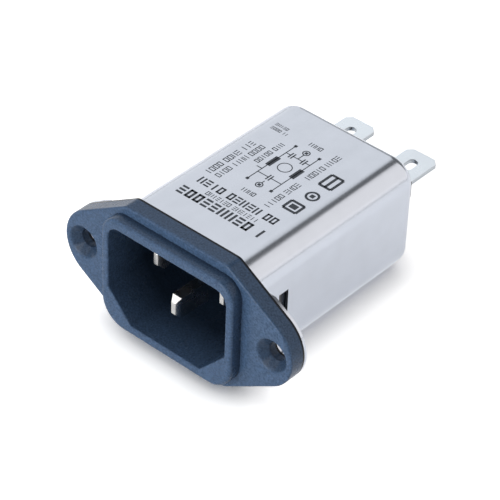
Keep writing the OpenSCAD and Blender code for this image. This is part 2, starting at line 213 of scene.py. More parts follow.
# ---- outlines, as convex outlines round circles (x, z, radius) ----------------------------


def directions(steps):
    """Unit directions all round, set so that none lies along an axis."""
    turn = math.tau / steps
    return [(math.cos((i + 0.5) * turn), math.sin((i + 0.5) * turn)) for i in range(steps)]


def outline(circles, grow=0.0):
    """Points (x, z) of the convex outline round the circles, moved out by grow."""
    points = []
    for nx, nz in directions(RING_STEPS):
        x, z, r = max(circles, key=lambda c: c[0] * nx + c[1] * nz + c[2])
        points.append((x + (r + grow) * nx, z + (r + grow) * nz))
    return points


def block_circles(width, height, top, low, z=0.0):
    """Circles at the corners of an upright block with radii top and low."""
    circles = []
    for side in (-1, 1):
        circles.append((side * (width / 2 - top), z + height / 2 - top, top))
        circles.append((side * (width / 2 - low), z - height / 2 + low, low))
    return circles


def flange_circles(m):
    """Circles of the flange: two ears and four corners."""
    circles = [(side * (m.width / 2 - m.ear_r), 0.0, m.ear_r) for side in (-1, 1)]
    for side in (-1, 1):
        for end in (-1, 1):
            circles.append((side * m.flat, end * (m.height / 2 - m.corner_r), m.corner_r))
    return circles


def socket_circles(m):
    """Circles of the socket: two round corners and four sharp ones."""
    half, circles = m.socket_w / 2, []
    for side in (-1, 1):
        circles.append((side * (half - m.socket_r), m.socket_top - m.socket_r, m.socket_r))
        circles.append((side * half, m.cut_h - m.socket_low, 0.0))
        circles.append((side * (half - m.cut_w), -m.socket_low, 0.0))
    return circles


def rounded(circles, y, edge, inward, along, steps=ROUND_STEPS):
    """Rings of a rounded edge that ends at the plane y.

    The outline shrinks where inward is -1 and grows where it is 1. The round starts behind y where
    along is 1 and before it where along is -1.
    """
    rings = []
    for i in range(steps + 1):
        angle = math.pi / 2 * i / steps
        grow = inward * edge * (1 - math.cos(angle))
        rings.append((y + along * edge * (1 - math.sin(angle)), outline(circles, grow)))
    return rings


# ---- meshes ------------------------------------------------------------------------------


def loft(bm, rings):
    """Closed skin through rings (y, points), with a flat face at each end."""
    loops = [[bm.verts.new((x, y, z)) for x, z in points] for y, points in rings]
    for a, b in zip(loops, loops[1:]):
        for i in range(len(a)):
            j = (i + 1) % len(a)
            bm.faces.new((a[i], a[j], b[j], b[i]))
    bm.faces.new(loops[0])
    bm.faces.new(list(reversed(loops[-1])))


def add_box(bm, low, high):
    """Box between two corners."""
    size = [high[i] - low[i] for i in range(3)]
    middle = [(high[i] + low[i]) / 2 for i in range(3)]
    matrix = Matrix.Translation(middle) @ Matrix.Diagonal((*size, 1.0))
    bmesh.ops.create_cube(bm, size=1.0, matrix=matrix)


def add_turned(bm, centre, profile):
    """Solid turned round an axis along Y through centre (x, z), from a profile of (y, radius)."""
    cx, cz = centre
    round_points = directions(TURNED_STEPS)
    loft(bm, [(y, [(cx + r * nx, cz + r * nz) for nx, nz in round_points]) for y, r in profile])


def add_prism(bm, points, y0, y1):
    """Prism along Y over points (x, z)."""
    loft(bm, [(y0, points), (y1, points)])


def mesh_object(name, build):
    """Object whose mesh build(bm) fills."""
    bm = bmesh.new()
    build(bm)
    bmesh.ops.remove_doubles(bm, verts=bm.verts, dist=WELD)
    bmesh.ops.dissolve_degenerate(bm, edges=bm.edges, dist=WELD)
    bmesh.ops.recalc_face_normals(bm, faces=bm.faces)
    mesh = bpy.data.meshes.new(name)
    bm.to_mesh(mesh)
    bm.free()
    piece = bpy.data.objects.new(name, mesh)
    bpy.context.scene.collection.objects.link(piece)
    return piece


def bake(piece):
    """Turns the object's modifiers into its mesh."""
    graph = bpy.context.evaluated_depsgraph_get()
    graph.update()
    mesh = bpy.data.meshes.new_from_object(piece.evaluated_get(graph), depsgraph=graph)
    old, name = piece.data, piece.name
    piece.modifiers.clear()
    piece.data = mesh
    bpy.data.meshes.remove(old)
    mesh.name = name


def combine(piece, operation, name, build):
    """Cuts a shape out of the piece, or joins it on."""
    other = mesh_object(name, build)
    cut = piece.modifiers.new(name, "BOOLEAN")
    cut.operation, cut.solver, cut.object = operation, "EXACT", other
    bake(piece)
    mesh = other.data
    bpy.data.objects.remove(other)
    bpy.data.meshes.remove(mesh)


def shade(piece):
    """Smooth shading with sharp edges past an angle, and flat faces that stay flat."""
    mesh = piece.data
    mesh.shade_smooth()
    mesh.set_sharp_from_angle(angle=SHARP_ANGLE)
    normals = piece.modifiers.new("weight", "WEIGHTED_NORMAL")
    normals.keep_sharp, normals.weight, normals.mode = True, 60, "FACE_AREA"
    bake(piece)


def softened(node, name, width):
    """Copy of a CAD node whose sharp edges are rounded by width."""
    bm = bmesh.new()
    bm.from_mesh(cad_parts[node].data)
    bmesh.ops.remove_doubles(bm, verts=bm.verts, dist=10 * WELD)
    bmesh.ops.dissolve_limit(bm, angle_limit=FLAT_ANGLE, verts=bm.verts, edges=bm.edges)
    mesh = bpy.data.meshes.new(name)
    bm.to_mesh(mesh)
    bm.free()
    piece = bpy.data.objects.new(name, mesh)
    bpy.context.scene.collection.objects.link(piece)
    bevel = piece.modifiers.new("edge", "BEVEL")
    bevel.width, bevel.segments, bevel.limit_method = width, 3, "ANGLE"
    bevel.angle_limit = SHARP_ANGLE
    bake(piece)
    shade(piece)
    return piece


def finish_piece(piece, finish, slot, *nodes):
    """Gives the piece its material and its place in the model."""
    piece.data.materials.clear()
    piece.data.materials.append(finish)
    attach(piece, "root")
    if nodes:
        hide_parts(*nodes)


# ---- node helpers ------------------------------------------------------------------------

# Scale of the drawn marks, which are long along Y, and depth of the relief in any finish.
DRAWN_STRETCH = (1.0, 0.03, 1.0)
RELIEF = 0.02 * MM


def link(tree, source, socket, target, into):
    """Links two nodes by socket name."""
    tree.links.new(source.outputs[socket], target.inputs[into])


def noise_node(tree, coordinates, scale, detail):
    """Noise texture on some coordinates."""
    node = tree.nodes.new("ShaderNodeTexNoise")
    node.inputs["Scale"].default_value = scale
    node.inputs["Detail"].default_value = detail
    node.inputs["Roughness"].default_value = 0.55
    tree.links.new(coordinates, node.inputs["Vector"])
    return node


def ranged(tree, value, low, high, start=0.3, end=0.7):
    """Maps a value from start..end, by default the span that a noise fills, to low..high."""
    node = tree.nodes.new("ShaderNodeMapRange")
    for name, level in (("From Min", start), ("From Max", end), ("To Min", low), ("To Max", high)):
        node.inputs[name].default_value = level
    tree.links.new(value, node.inputs["Value"])
    return node.outputs["Result"]


def surface_group():
    """Shared group: fine grain, broad mottle and marks drawn along Y, all from object coordinates."""
    name = "surface_masks"
    found = bpy.data.node_groups.get(name)
    if found:
        return found
    tree = bpy.data.node_groups.new(name, "ShaderNodeTree")
    face = tree.interface
    for label, scale in (("Grain Scale", 9000.0), ("Mottle Scale", 220.0), ("Drawn Scale", 900.0)):
        face.new_socket(name=label, in_out="INPUT", socket_type="NodeSocketFloat").default_value = scale
    for label in ("Grain", "Mottle", "Drawn"):
        face.new_socket(name=label, in_out="OUTPUT", socket_type="NodeSocketFloat")
    start, end = tree.nodes.new("NodeGroupInput"), tree.nodes.new("NodeGroupOutput")
    where = tree.nodes.new("ShaderNodeTexCoord").outputs["Object"]
    stretch = tree.nodes.new("ShaderNodeMapping")
    stretch.inputs["Scale"].default_value = DRAWN_STRETCH
    tree.links.new(where, stretch.inputs["Vector"])
    for label, coordinates, detail in (
        ("Grain", where, 2.0),
        ("Mottle", where, 5.0),
        ("Drawn", stretch.outputs["Vector"], 3.0),
    ):
        node = noise_node(tree, coordinates, 1.0, detail)
        tree.links.new(start.outputs[label + " Scale"], node.inputs["Scale"])
        tree.links.new(node.outputs["Fac"], end.inputs[label])
    return tree


def blended(tree, factor, low, high):
    """Node that mixes two colours by a factor."""
    node = tree.nodes.new("ShaderNodeMix")
    node.data_type = "RGBA"
    node.inputs["A"].default_value = (*low, 1)
    node.inputs["B"].default_value = (*high, 1)
    tree.links.new(factor, node.inputs["Factor"])
    return node


def material(
    name, base, rough, metallic=0.0, tone=0.12, bump=0.2, grain=9000.0, fleck=False, drawn=False
):
    """Finish whose colour, roughness and relief vary from place to place, roughness over a span."""
    made = bpy.data.materials.new(name)
    made.use_nodes = True
    tree = made.node_tree
    surface = tree.nodes["Principled BSDF"]
    masks = tree.nodes.new("ShaderNodeGroup")
    masks.node_tree = surface_group()
    masks.inputs["Grain Scale"].default_value = grain
    spots = ranged(tree, masks.outputs["Grain" if fleck else "Mottle"], 0, 1)
    darker = [c * (1 - tone) for c in base]
    lighter = [min(1, c * (1 + tone)) for c in base]
    link(tree, blended(tree, spots, darker, lighter), "Result", surface, "Base Color")
    wear = masks.outputs["Drawn" if drawn else "Mottle"]
    tree.links.new(ranged(tree, wear, *rough), surface.inputs["Roughness"])
    surface.inputs["Metallic"].default_value = metallic
    relief = tree.nodes.new("ShaderNodeBump")
    relief.inputs["Strength"].default_value = bump
    relief.inputs["Distance"].default_value = RELIEF
    link(tree, masks, "Drawn" if drawn else "Grain", relief, "Height")
    link(tree, relief, "Normal", surface, "Normal")
    made.diffuse_color = (*base, 1)
    return made


def maths(tree, operation, first, second=None):
    """Result of a maths node fed by outputs or plain numbers."""
    node = tree.nodes.new("ShaderNodeMath")
    node.operation = operation
    for slot, value in enumerate((first, second)):
        if isinstance(value, (int, float)):
            node.inputs[slot].default_value = value
        elif value is not None:
            tree.links.new(value, node.inputs[slot])
    return node.outputs["Value"]


def place(tree, source="Object"):
    """X, Y and Z of a point, of its normal or of a direction, by the name of the coordinates."""
    parts = tree.nodes.new("ShaderNodeSeparateXYZ")
    link(tree, tree.nodes.new("ShaderNodeTexCoord"), source, parts, "Vector")
    return parts.outputs


def beside(tree, half_width, half_height):
    """1 outside a block round the Y axis and 0 inside it."""
    at = place(tree)
    past = [
        maths(tree, "GREATER_THAN", maths(tree, "ABSOLUTE", at[axis]), half)
        for axis, half in (("X", half_width), ("Z", half_height))
    ]
    return maths(tree, "MAXIMUM", *past)


def round_holes(tree, m):
    """1 in the two screw holes and their countersinks, 0 outside them."""
    at = place(tree)
    edge = m.sink / 2 + 0.05 * MM
    across = maths(tree, "SUBTRACT", maths(tree, "ABSOLUTE", at["X"]), m.pitch / 2)
    squares = [maths(tree, "POWER", offset, 2.0) for offset in (across, at["Z"])]
    return maths(tree, "LESS_THAN", maths(tree, "ADD", *squares), edge**2)


def bezel_wall(tree, outer, p):
    """1 on the bezel's outer wall, 0 on the flange behind it."""
    raised = maths(tree, "LESS_THAN", place(tree)["Y"], p.front - 0.03 * MM)
    return maths(tree, "MULTIPLY", outer, raised)


def paint_shade(made, loss):
    """Paints shade by taking a share of the colour away."""
    tree = made.node_tree
    surface = tree.nodes["Principled BSDF"]
    dim = tree.nodes.new("ShaderNodeVectorMath")
    dim.operation = "SCALE"
    tree.links.new(surface.inputs["Base Color"].links[0].from_socket, dim.inputs["Vector"])
    tree.links.new(maths(tree, "SUBTRACT", 1.0, loss), dim.inputs["Scale"])
    link(tree, dim, "Vector", surface, "Base Color")


# ---- pieces ------------------------------------------------------------------------------


class Pieces:
    """Sizes of the moulding (m), the can (c) and the contacts (k), and planes along Y."""

    def __init__(self, scene):
        self.m, self.c, self.k = scene.inlet_moulding, scene.inlet_can, scene.inlet_contacts
        self.back = -self.c.sheet
        self.front = self.back - self.m.thick
        self.bezel = self.front - self.m.bezel_t
        self.floor_front = self.bezel + self.m.depth
        self.floor_back = self.floor_front + self.m.floor


def moulding_rings(p):
    """Rings of the moulding, from its inner end over the flange and bezel to the socket floor."""
    m, c = p.m, p.c
    can = block_circles(c.width, c.height, c.corner_r, c.corner_r, c.rise)
    flange = flange_circles(m)
    bezel = block_circles(m.bezel_w, m.bezel_h, m.bezel_top, m.bezel_low)
    socket = socket_circles(m)
    spigot = outline(can, -(c.sheet + m.gap))
    rings = [(p.floor_back, spigot), (p.back, spigot), (p.back, outline(flange))]
    rings += rounded(flange, p.front, m.edge, -1, 1)
    rings.append((p.front, outline(bezel)))
    rings += rounded(bezel, p.bezel, m.bezel_edge, -1, 1)
    mouth = rounded(socket, p.bezel, m.mouth_edge, 1, 1)
    rings += list(reversed(mouth))
    rings.append((p.floor_front, outline(socket)))
    return rings


def latches(p):
    """Builder of the two wedges that snap into the can's windows."""
    c, m = p.c, p.m
    wall = c.width / 2 - c.sheet - m.gap
    root, tip = wall - MM, c.width / 2 - m.gap
    y0, y1 = c.window_y + m.latch_gap, c.window_y + c.window_l - m.latch_gap
    tall = c.window_h - 4 * m.latch_gap
    z0, z1 = c.rise - tall / 2, c.rise + tall / 2

    def build(bm):
        for side in (-1, 1):
            corners = [(root, y0), (tip, y0), (wall, y1), (root, y1)]
            low = [bm.verts.new((side * x, y, z0)) for x, y in corners]
            high = [bm.verts.new((side * x, y, z1)) for x, y in corners]
            bm.faces.new(low)
            bm.faces.new(list(reversed(high)))
            for i in range(4):
                j = (i + 1) % 4
                bm.faces.new((low[i], high[i], high[j], low[j]))

    return build


def moulding_cuts(p):
    """Builder of the screw holes, their countersinks and the pin passages."""
    m, k = p.m, p.k
    hole, sink, lip = m.hole / 2, m.sink / 2, m.sink_lip
    seat = p.front + (sink - hole)
    profile = [
        (MM, hole),
        (seat, hole),
        (p.front + lip, sink - lip),
        (p.front + lip / 4, sink + lip / 12),
        (p.front, sink + lip * 5 / 6),
        (p.front - 0.2 * MM, sink + 0.8 * MM),
    ]

    def build(bm):
        for side in (-1, 1):
            add_turned(bm, (side * m.pitch / 2, 0), profile)
        for x, z in ((-k.pin_pitch / 2, k.pin_z), (k.pin_pitch / 2, k.pin_z), (0, -k.pin_z)):
            low = (x - k.pin_w / 2, p.floor_front - MM, z - k.pin_h / 2)
            add_box(bm, low, (x + k.pin_w / 2, p.floor_back + MM, z + k.pin_h / 2))

    return build


def build_moulding(p):
    """The inlet moulding."""
    piece = mesh_object("inlet_moulding", lambda bm: loft(bm, moulding_rings(p)))
    combine(piece, "UNION", "latches", latches(p))
    combine(piece, "DIFFERENCE", "moulding_cuts", moulding_cuts(p))
    shade(piece)
    return piece


def can_rings(p):
    """Rings of the can: over the outside from the back to the rim, then over the inside."""
    c = p.c
    circles = block_circles(c.width, c.height, c.corner_r, c.corner_r, c.rise)
    outside = list(reversed(rounded(circles, c.long, c.edge, -1, -1, CAN_ROUND_STEPS)))
    inner = [(x, z, r - c.sheet) for x, z, r in circles]
    inside = rounded(inner, c.long - c.sheet, c.edge - c.sheet, -1, -1, CAN_ROUND_STEPS)
    rim = [(p.back, outline(circles)), (p.back, outline(inner))]
    return outside + rim + inside


def ear_points(p, side):
    """Outline of one ear: the flange's, cut off level and at the can's wall."""
    half, wall = p.c.ear_h / 2, p.c.width / 2 - p.c.sheet
    middle = side * (wall + 3 * MM)
    points = outline(flange_circles(p.m))
    found = [(side * wall, half), (side * wall, -half)]
    for (x, z), (nx, nz) in zip(points, points[1:] + points[:1]):
        if side * x > wall and abs(z) <= half:
            found.append((x, z))
        if side * x > 0 and side * nx > 0 and (abs(z) <= half) != (abs(nz) <= half):
            level = math.copysign(half, z + nz)
            found.append((x + (nx - x) * (level - z) / (nz - z), level))
    return sorted(found, key=lambda q: math.atan2(q[1], q[0] - middle))


def build_can(p):
    """The drawn can with its ears, latch windows, collar openings and screw holes."""
    c, k = p.c, p.k
    piece = mesh_object("can_shell", lambda bm: loft(bm, can_rings(p)))
    for side in (-1, 1):
        combine(piece, "UNION", "ear", lambda bm: add_prism(bm, ear_points(p, side), p.back, 0.0))

    def cuts(bm):
        z0 = c.rise - c.window_h / 2
        add_box(bm, (-c.width, c.window_y, z0), (c.width, c.window_y + c.window_l, z0 + c.window_h))
        for x, z in ((-k.tab_pitch / 2, k.pin_z), (k.tab_pitch / 2, k.pin_z), (0, k.earth_z)):
            low = (x - k.collar_w / 2, c.long - 2 * c.sheet, z - k.collar_h / 2)
            add_box(bm, low, (x + k.collar_w / 2, c.long + c.sheet, z + k.collar_h / 2))
        bore = [(-2 * MM, p.m.hole / 2), (2 * MM, p.m.hole / 2)]
        for side in (-1, 1):
            add_turned(bm, (side * p.m.pitch / 2, 0), bore)

    combine(piece, "DIFFERENCE", "can_cuts", cuts)
    shade(piece)
    return piece


# ---- print, with places, sizes and pens in millimetres -----------------------------------

INK_LIFT = 0.002 * MM
DOT = 0.28

# Plain marks as places of upright bars and of level bars. The frame comes up twice as often.
MARK_FRAME = ((-1, 1), (-1, 1))
MARKS = (
    ((0,), ()),
    ((-1, 1), ()),
    MARK_FRAME,
    MARK_FRAME,
    ((), (-1, 0, 1)),
)

# A mark's width and the gap after it are shares of its height, and the gap is a share of the pen
# where that is wider. The space between two groups is a share of the pitch.
MARK_WIDTH = 0.62
MARK_GAP = 0.16
PEN_GAP = 0.9
GROUP_GAP = 0.6

# Start, end, height and pen of each row, and the least and most marks in a group.
ROWS = (
    ((-9.1, 7.1), (8.8, 7.1), 2.1, 0.44, (6, 9)),
    ((-5.2, 9.1), (5.6, 9.1), 0.95, 0.13, (4, 7)),
    ((-8.4, 11.0), (7.9, 11.0), 1.7, 0.33, (4, 6)),
    ((-8.7, 13.0), (-8.7, 24.7), 1.2, 0.16, (4, 7)),
    ((-6.9, 13.4), (-6.9, 25.2), 1.1, 0.14, (4, 7)),
    ((-5.0, 20.6), (-5.0, 27.3), 1.0, 0.14, (4, 7)),
    ((3.9, 12.8), (3.9, 21.0), 1.1, 0.14, (4, 7)),
    ((3.9, 22.8), (3.9, 31.2), 1.1, 0.14, (4, 7)),
    ((-2.1, 30.3), (1.0, 30.3), 0.95, 0.14, (4, 7)),
    ((-2.0, 13.8), (1.0, 13.8), 0.95, 0.14, (4, 7)),
    ((-9.5, 29.5), (-6.0, 29.5), 0.7, 0.1, (4, 7)),
    ((-9.5, 30.7), (-6.4, 30.7), 0.7, 0.1, (4, 7)),
)


class Strokes:
    """Plain strokes of ink, each with a middle, a length, a width and a turn, in metres."""

    def __init__(self, settings):
        self.found, self.thin = [], settings.stroke
        self.random = random.Random(settings.seed)

    def mark(self, middle, wide, tall, pen, turn):
        """One plain mark made of bars, with its sizes in metres."""
        along = Vector((math.cos(turn), math.sin(turn)))
        up = Vector((-along.y, along.x))
        uprights, levels = self.random.choice(MARKS)
        for side in uprights:
            spot = middle + along * side * (wide - pen) / 2
            self.found.append((*spot, tall, pen, turn + math.pi / 2))
        for side in levels:
            spot = middle + up * side * (tall - pen) / 2
            self.found.append((*spot, wide, pen, turn))

    def row(self, start, end, tall, pen, group):
        """Row of marks in groups."""
        a, b = Vector(start) * MM, Vector(end) * MM
        tall, wide, pen = tall * MM, MARK_WIDTH * tall * MM, pen * MM
        pitch = wide + max(pen * PEN_GAP, MARK_GAP * tall)
        run = b - a
        turn = math.atan2(run.y, run.x)
        at, left = wide / 2, self.random.randint(*group)
        while at + wide / 2 <= run.length:
            self.mark(a + run.normalized() * at, wide, tall, pen, turn)
            left -= 1
            at += pitch
            if left == 0:
                at += GROUP_GAP * pitch
                left = self.random.randint(*group)

    def line(self, start, end, pen=None):
        """Straight line between two points."""
        a, b = Vector(start) * MM, Vector(end) * MM
        middle, run = (a + b) / 2, b - a
        wide = pen * MM if pen else self.thin
        self.found.append((*middle, run.length, wide, math.atan2(run.y, run.x)))

    def path(self, points, pen=None):
        """Lines from point to point."""
        for a, b in zip(points, points[1:]):
            self.line(a, b, pen)

    def frame(self, low, high, pen):
        """Empty frame between two corners."""
        (x0, y0), (x1, y1) = low, high
        self.path([(x0, y0), (x1, y0), (x1, y1), (x0, y1), (x0, y0)], pen)

    def ring(self, centre, radius, pen=None, steps=24):
        """Ring made of short lines."""
        angles = [math.tau * i / steps for i in range(steps + 1)]
        x, y = centre
        self.path([(x + radius * math.cos(a), y + radius * math.sin(a)) for a in angles], pen)

    def block(self, low, high):
        """Filled block between two corners."""
        (x0, y0), (x1, y1) = low, high
        self.line((x0, (y0 + y1) / 2), (x1, (y0 + y1) / 2), y1 - y0)

    def dot(self, x, y, half):
        """Filled square round a point."""
        self.block((x - half, y - half), (x + half, y + half))


def draw_capacitor(ink, start, end, y):
    """Capacitor between two places at one level."""
    middle, gap, plate, pen = (start + end) / 2, 0.5, 1.5, 0.24
    for x, side in ((start, -1), (end, 1)):
        at = middle + side * gap / 2
        ink.line((x, y), (at, y))
        ink.line((at, y - plate / 2), (at, y + plate / 2), pen)


def draw_earth(ink, x, y, tap):
    """Earth terminal: a ring round a dot, with a short lead to the level of the tap."""
    radius, pen = 0.6, 0.2
    ink.ring((x, y), radius, pen, 16)
    ink.dot(x, y, DOT)
    ink.line((x, y + math.copysign(radius, tap - y)), (x, tap))


def draw_circuit(ink):
    """Plain circuit: two lines with a choke, and capacitors between them at each end."""
    left, middle, right = -3.1, -0.6, 1.9
    front, back = 16.4, 28.2
    across, to_earth, tap = 18.9, 25.8, 17.7
    coil, coil_front, coil_back = 0.5, 21.2, 24.0
    for x in (left, right):
        ink.line((x, front), (x, back))
        ink.block((x - coil, coil_front), (x + coil, coil_back))
        for y in (front, back):
            ink.dot(x, y, DOT)
    ink.ring((middle, (coil_front + coil_back) / 2), 1.2)
    draw_capacitor(ink, left, right, across)
    draw_capacitor(ink, left, middle, to_earth)
    draw_capacitor(ink, middle, right, to_earth)
    draw_earth(ink, middle, 27.9, to_earth)
    draw_earth(ink, middle, front, tap)
    ink.line((left, 19.9), (-4.2, 19.9))


def draw_fields(ink):
    """Three plain fields beside the circuit: a filled frame, a ring and a divided frame."""
    bold = 0.5
    ink.frame((5.8, 14.7), (8.4, 17.0), bold)
    ink.block((6.4, 15.3), (7.8, 16.4))
    ink.ring((7.5, 19.9), 1.05, 0.42)
    ink.dot(7.5, 19.9, 0.4)
    ink.frame((6.1, 23.1), (8.5, 26.4), bold)
    ink.line((7.3, 23.1), (7.3, 26.4), bold)


def stroke_points(name, strokes, z):
    """Loose points with the size and turn of each stroke."""
    mesh = bpy.data.meshes.new(name)
    mesh.from_pydata([(x, y, z) for x, y, *_ in strokes], [], [])
    size = mesh.attributes.new("stroke_size", "FLOAT_VECTOR", "POINT")
    turn = mesh.attributes.new("stroke_turn", "FLOAT_VECTOR", "POINT")
    for i, (_, _, long, wide, angle) in enumerate(strokes):
        size.data[i].vector = (long, wide, 1.0)
        turn.data[i].vector = (0, 0, angle)
    return mesh


def link_attribute(tree, name, target, into):
    """Feeds a named vector of each point into a socket."""
    node = tree.nodes.new("GeometryNodeInputNamedAttribute")
    node.data_type = "FLOAT_VECTOR"
    node.inputs["Name"].default_value = name
    link(tree, node, "Attribute", target, into)


def stroke_tree():
    """Geometry tree that lays one flat block of ink on each point."""
    tree = bpy.data.node_groups.new("ink_strokes", "GeometryNodeTree")
    face = tree.interface
    face.new_socket(name="Points", in_out="INPUT", socket_type="NodeSocketGeometry")
    face.new_socket(name="Thickness", in_out="INPUT", socket_type="NodeSocketFloat")
    face.new_socket(name="Ink", in_out="INPUT", socket_type="NodeSocketMaterial")
    face.new_socket(name="Print", in_out="OUTPUT", socket_type="NodeSocketGeometry")
    start, end = tree.nodes.new("NodeGroupInput"), tree.nodes.new("NodeGroupOutput")
    size = tree.nodes.new("ShaderNodeCombineXYZ")
    size.inputs["X"].default_value = size.inputs["Y"].default_value = 1.0
    link(tree, start, "Thickness", size, "Z")
    block = tree.nodes.new("GeometryNodeMeshCube")
    link(tree, size, "Vector", block, "Size")
    spread = tree.nodes.new("GeometryNodeInstanceOnPoints")
    link(tree, start, "Points", spread, "Points")
    link(tree, block, "Mesh", spread, "Instance")
    link_attribute(tree, "stroke_size", spread, "Scale")
    link_attribute(tree, "stroke_turn", spread, "Rotation")
    real = tree.nodes.new("GeometryNodeRealizeInstances")
    link(tree, spread, "Instances", real, "Geometry")
    paint = tree.nodes.new("GeometryNodeSetMaterial")
    link(tree, real, "Geometry", paint, "Geometry")
    link(tree, start, "Ink", paint, "Material")
    link(tree, paint, "Geometry", end, "Print")
    return tree


def set_inputs(modifier, **values):
    """Sets a tree's inputs by name."""
    sockets = modifier.node_group.interface.items_tree
    names = {socket.name: socket.identifier for socket in sockets if socket.in_out == "INPUT"}
    for name, value in values.items():
        modifier[names[name]] = value


def build_print(scene, ink_material):
    """The print on the can's upper face."""
    settings, can = scene.inlet_print, scene.inlet_can
    ink = Strokes(settings)
    for row in ROWS:
        ink.row(*row)
    draw_circuit(ink)
    draw_fields(ink)
    top = can.rise + can.height / 2
    mesh = stroke_points("can_print", ink.found, top + settings.thick / 2 + INK_LIFT)
    piece = bpy.data.objects.new("can_print", mesh)
    bpy.context.scene.collection.objects.link(piece)
    modifier = piece.modifiers.new("strokes", "NODES")
    modifier.node_group = stroke_tree()
    set_inputs(modifier, Thickness=settings.thick, Ink=ink_material)
    bake(piece)
    return piece


# ---- finishes ----------------------------------------------------------------------------

MOULDING_SPECULAR = 0.16

# Nodes under the dressed pieces, by finish.
OUTER_NODES = {
    "moulding": ("inlet_body",),
    "can_metal": ("shield_can",),
    "black_plastic": ("terminal_plate",),
    "pin_metal": ("line_pin", "neutral_pin", "earth_pin"),
    "tab_metal": ("line_tab", "neutral_tab", "earth_tab"),
}

# Colour, roughness, share of metal and nodes of each finish inside the can.
INNER_FINISHES = {
    "liner_film": ("film", (0.3, 0.45), 0.0, ("can_liner",)),
    "strap_metal": ("contact", (0.3, 0.45), 1.0, ("earth_strap",)),
    "ferrite": ("ferrite", (0.6, 0.8), 0.0, ("choke_core",)),
    "case_plastic": (
        "case", (0.4, 0.55), 0.0, ("core_cup", "core_lid", "winding_divider", "choke_cradle")
    ),
    "enamelled_wire": ("wire", (0.18, 0.3), 0.6, ("line_winding", "neutral_winding")),
    "sleeve": ("sleeve", (0.5, 0.65), 0.0, ("lead_sleeves",)),
    "xcap_body": ("xcap", (0.35, 0.5), 0.0, ("x_capacitor",)),
    "ycap_body": ("ycap", (0.3, 0.45), 0.0, ("line_y_capacitor", "neutral_y_capacitor")),
}


def moulding_finish_and_shade(tone, p):
    """Blue-grey plastic with painted shade, darker in its hollows, on the flange's sides and along the
    flange's back edge.
    """
    made = material("moulding", tone, (0.2, 0.32), tone=0.30, bump=0.3, grain=3200, fleck=True)
    tree = made.node_tree
    tree.nodes["Principled BSDF"].inputs["Specular IOR Level"].default_value = MOULDING_SPECULAR
    past = 0.1 * MM
    outer = beside(tree, p.m.socket_w / 2 + past, p.m.socket_low + past)
    socket = maths(tree, "SUBTRACT", 1.0, outer)
    # Painted shade on the plastic: a dark line along the flange's back edge, the flange's sides, the
    # countersinks, the bezel's foot and the socket, darker further in. Where, from which plane to
    # which, and the share of the colour lost there.
    painted_shades = {
        "flange back": (outer, p.back - 0.5 * MM, p.back - 0.3 * MM, 0.92),
        "flange edge": (outer, p.front + 0.3 * MM, p.front + 0.7 * MM, 0.1),
        "countersinks": (round_holes(tree, p.m), p.front, p.front + 0.3 * MM, 0.4),
        "bezel foot": (bezel_wall(tree, outer, p), p.bezel + 0.5 * MM, p.front - 0.1 * MM, 0.5),
        "socket": (socket, p.bezel + 0.6 * MM, p.bezel + 9 * MM, 0.75),
    }
    for where, start, end, loss in painted_shades.values():
        depth = ranged(tree, place(tree)["Y"], 0.0, loss, start, end)
        paint_shade(made, maths(tree, "MULTIPLY", where, depth))
    return made


def tab_finish_and_shade(tone):
    """Tin plate with painted shade on the thin edges, which come out darker than the flat sides."""
    made = material("tab_metal", tone, (0.22, 0.38), 1.0, tone=0.06, bump=0.2)
    tree = made.node_tree
    # Painted shade: faces whose normals turn sideways lose a share of their colour.
    edge_shade, edge, flat = 0.4, 0.3, 0.9
    flatness = maths(tree, "ABSOLUTE", place(tree, "Normal")["Z"])
    paint_shade(made, ranged(tree, flatness, edge_shade, 0.0, edge, flat))
    return made


def paint_nodes(finish, nodes):
    """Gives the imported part's own meshes a finish."""
    for node in nodes:
        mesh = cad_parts[node].data
        mesh.materials.clear()
        mesh.materials.append(finish)


# ---- operators ---------------------------------------------------------------------------


class INLET_OT_moulding(bpy.types.Operator):
    """Builds the inlet moulding"""

    bl_idname = "inlet.moulding"
    bl_label = "Build the moulding"

    def execute(self, context):
        pieces = Pieces(context.scene)
        finish = moulding_finish_and_shade(context.scene.inlet_finishes.moulding, pieces)
        finish_piece(build_moulding(pieces), finish, "moulding", "inlet_body")
        return {"FINISHED"}


class INLET_OT_can(bpy.types.Operator):
    """Builds the drawn can"""

    bl_idname = "inlet.can"
    bl_label = "Build the can"

    def execute(self, context):
        tone = context.scene.inlet_finishes.metal
        finish = material("can_metal", tone, (0.17, 0.24), 1.0, tone=0.025, bump=0.03, drawn=True)
        finish_piece(build_can(Pieces(context.scene)), finish, "can_metal", "shield_can")
        return {"FINISHED"}


class INLET_OT_contacts(bpy.types.Operator):
    """Builds the pins, the tabs and the terminal plate with rounded edges"""

    bl_idname = "inlet.contacts"
    bl_label = "Build the contacts"

    def execute(self, context):
        sizes, tones = context.scene.inlet_contacts, context.scene.inlet_finishes
        pins = material("pin_metal", tones.contact, (0.2, 0.32), 1.0, tone=0.04, bump=0.1)
        tabs = tab_finish_and_shade(tones.tab)
        black = material("black_plastic", tones.black, (0.4, 0.55), bump=0.3)
        for slot, finish in (("pin_metal", pins), ("tab_metal", tabs)):
            for node in OUTER_NODES[slot]:
                blade = softened(node, node + "_blade", sizes.edge)
                finish_piece(blade, finish, slot, node)
        plate = softened("terminal_plate", "terminal_block", sizes.collar_edge)
        finish_piece(plate, black, "black_plastic", "terminal_plate")
        return {"FINISHED"}


class INLET_OT_print(bpy.types.Operator):
    """Prints plain marks on the can"""

    bl_idname = "inlet.print_marks"
    bl_label = "Print the can"

    def execute(self, context):
        tone = context.scene.inlet_finishes.ink
        ink = material("print_ink", tone, (0.45, 0.6), tone=0.1, bump=0.1)
        finish_piece(build_print(context.scene, ink), ink, "can_metal")
        return {"FINISHED"}


